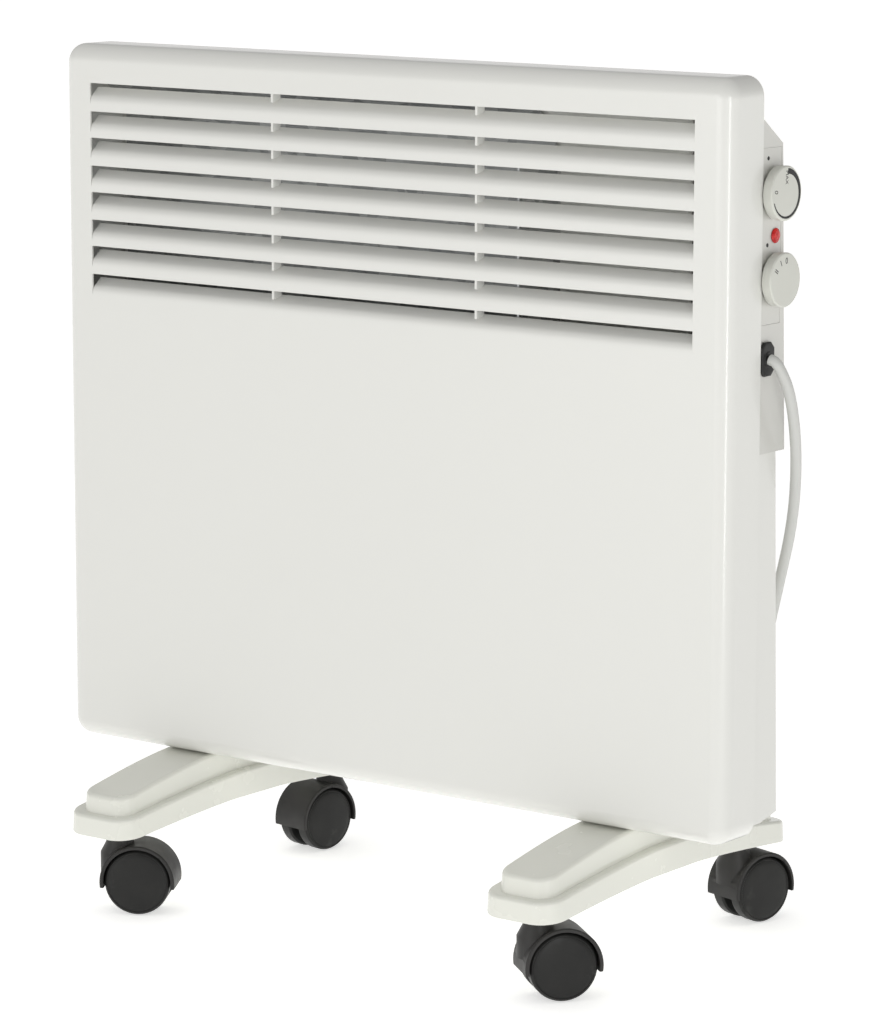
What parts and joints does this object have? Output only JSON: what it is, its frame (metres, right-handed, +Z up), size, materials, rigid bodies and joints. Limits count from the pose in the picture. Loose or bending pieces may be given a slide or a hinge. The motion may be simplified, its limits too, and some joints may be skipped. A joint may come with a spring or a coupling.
{
  "type": "convector heater",
  "caption": "Free-standing convector panel heater on castored feet, with a louvred steel front, side controls and a mains lead.",
  "frame": {"origin": "middle of the heater's footprint on the floor, the lead, its coil and its plug left out", "axes": "+X towards the end with the controls, +Y from the front cover towards the back, +Z up"},
  "size_m": [0.4721, 0.4453, 0.4885],
  "materials": {
    "white_paint": "satin",
    "cream_plastic": "gloss",
    "black_plastic": "satin",
    "bright_steel": "bright",
    "dark_grey_plastic": "satin",
    "red_lens": "gloss",
    "galvanised_sheet": "satin",
    "element_aluminium": "satin",
    "steatite": "matt",
    "light_grey_pvc": "satin"
  },
  "bodies": {
    "heater": {"castor_front_left_stem": "bright_steel", "castor_front_right_stem": "bright_steel", "castor_rear_left_stem": "bright_steel", "castor_rear_right_stem": "bright_steel", "compartment_partition": "galvanised_sheet", "control_box": "white_paint", "control_plate": "white_paint", "cord_coil": "light_grey_pvc", "cord_gland": "black_plastic", "cord_tie": "black_plastic", "element_bracket_left": "galvanised_sheet", "element_bracket_right": "galvanised_sheet", "element_insulator_left": "steatite", "element_insulator_right": "steatite", "foot_left": "cream_plastic", "foot_left_screw_1": "bright_steel", "foot_left_screw_2": "bright_steel", "foot_right": "cream_plastic", "foot_right_screw_1": "bright_steel", "foot_right_screw_2": "bright_steel", "front_cover": "white_paint", "heat_reflector": "galvanised_sheet", "heating_element": "element_aluminium", "indicator_lens": "red_lens", "lamp_holder": "dark_grey_plastic", "plug_body": "light_grey_pvc", "plug_pin_a": "bright_steel", "plug_pin_b": "bright_steel", "power_cord": "light_grey_pvc", "rear_casing": "white_paint", "selector_body": "dark_grey_plastic", "terminal_block": "steatite", "thermal_cutout": "black_plastic", "thermostat_body": "dark_grey_plastic", "tip_over_switch": "black_plastic"},
    "castor_front_left": {"castor_front_left_hood": "black_plastic", "castor_front_left_axle": "bright_steel"},
    "castor_front_left_wheel_a": {"castor_front_left_wheel_a": "black_plastic"},
    "castor_front_left_wheel_b": {"castor_front_left_wheel_b": "black_plastic"},
    "castor_front_right": {"castor_front_right_hood": "black_plastic", "castor_front_right_axle": "bright_steel"},
    "castor_front_right_wheel_a": {"castor_front_right_wheel_a": "black_plastic"},
    "castor_front_right_wheel_b": {"castor_front_right_wheel_b": "black_plastic"},
    "castor_rear_left": {"castor_rear_left_hood": "black_plastic", "castor_rear_left_axle": "bright_steel"},
    "castor_rear_left_wheel_a": {"castor_rear_left_wheel_a": "black_plastic"},
    "castor_rear_left_wheel_b": {"castor_rear_left_wheel_b": "black_plastic"},
    "castor_rear_right": {"castor_rear_right_hood": "black_plastic", "castor_rear_right_axle": "bright_steel"},
    "castor_rear_right_wheel_a": {"castor_rear_right_wheel_a": "black_plastic"},
    "castor_rear_right_wheel_b": {"castor_rear_right_wheel_b": "black_plastic"},
    "thermostat_control": {"thermostat_knob": "cream_plastic", "thermostat_shaft": "bright_steel"},
    "selector_control": {"selector_knob": "cream_plastic", "selector_shaft": "bright_steel"}
  },
  "joints": [
    {"name": "castor_front_left_swivel", "type": "hinge", "parent": "heater", "child": "castor_front_left", "pos_m": [-0.1502, -0.10283, 0.03], "axis": [0, 0, 1], "continuous": true},
    {"name": "castor_front_left_wheel_a_spin", "type": "hinge", "parent": "castor_front_left", "child": "castor_front_left_wheel_a", "pos_m": [-0.14024, -0.09689, 0.01875], "axis": [-0.512, 0.859, 0], "continuous": true},
    {"name": "castor_front_left_wheel_b_spin", "type": "hinge", "parent": "castor_front_left", "child": "castor_front_left_wheel_b", "pos_m": [-0.14024, -0.09689, 0.01875], "axis": [-0.512, 0.859, 0], "continuous": true},
    {"name": "castor_front_right_swivel", "type": "hinge", "parent": "heater", "child": "castor_front_right", "pos_m": [0.1438, -0.10283, 0.03], "axis": [0, 0, 1], "continuous": true},
    {"name": "castor_front_right_wheel_a_spin", "type": "hinge", "parent": "castor_front_right", "child": "castor_front_right_wheel_a", "pos_m": [0.15107, -0.09379, 0.01875], "axis": [-0.7793, 0.6266, 0], "continuous": true},
    {"name": "castor_front_right_wheel_b_spin", "type": "hinge", "parent": "castor_front_right", "child": "castor_front_right_wheel_b", "pos_m": [0.15107, -0.09379, 0.01875], "axis": [-0.7793, 0.6266, 0], "continuous": true},
    {"name": "castor_rear_left_swivel", "type": "hinge", "parent": "heater", "child": "castor_rear_left", "pos_m": [-0.1502, 0.08917, 0.03], "axis": [0, 0, 1], "continuous": true},
    {"name": "castor_rear_left_wheel_a_spin", "type": "hinge", "parent": "castor_rear_left", "child": "castor_rear_left_wheel_a", "pos_m": [-0.15188, 0.07769, 0.01875], "axis": [0.9895, -0.1444, 0], "continuous": true},
    {"name": "castor_rear_left_wheel_b_spin", "type": "hinge", "parent": "castor_rear_left", "child": "castor_rear_left_wheel_b", "pos_m": [-0.15188, 0.07769, 0.01875], "axis": [0.9895, -0.1444, 0], "continuous": true},
    {"name": "castor_rear_right_swivel", "type": "hinge", "parent": "heater", "child": "castor_rear_right", "pos_m": [0.1438, 0.08917, 0.03], "axis": [0, 0, 1], "continuous": true},
    {"name": "castor_rear_right_wheel_a_spin", "type": "hinge", "parent": "castor_rear_right", "child": "castor_rear_right_wheel_a", "pos_m": [0.14702, 0.10032, 0.01875], "axis": [-0.9608, 0.2773, 0], "continuous": true},
    {"name": "castor_rear_right_wheel_b_spin", "type": "hinge", "parent": "castor_rear_right", "child": "castor_rear_right_wheel_b", "pos_m": [0.14702, 0.10032, 0.01875], "axis": [-0.9608, 0.2773, 0], "continuous": true},
    {"name": "thermostat_turn", "type": "hinge", "parent": "heater", "child": "thermostat_control", "pos_m": [0.2272, -0.00823, 0.427], "axis": [1, 0, 0], "range_deg": [-270, 0]},
    {"name": "selector_turn", "type": "hinge", "parent": "heater", "child": "selector_control", "pos_m": [0.2272, -0.00823, 0.3816], "axis": [1, 0, 0], "range_deg": [0, 60]}
  ]
}
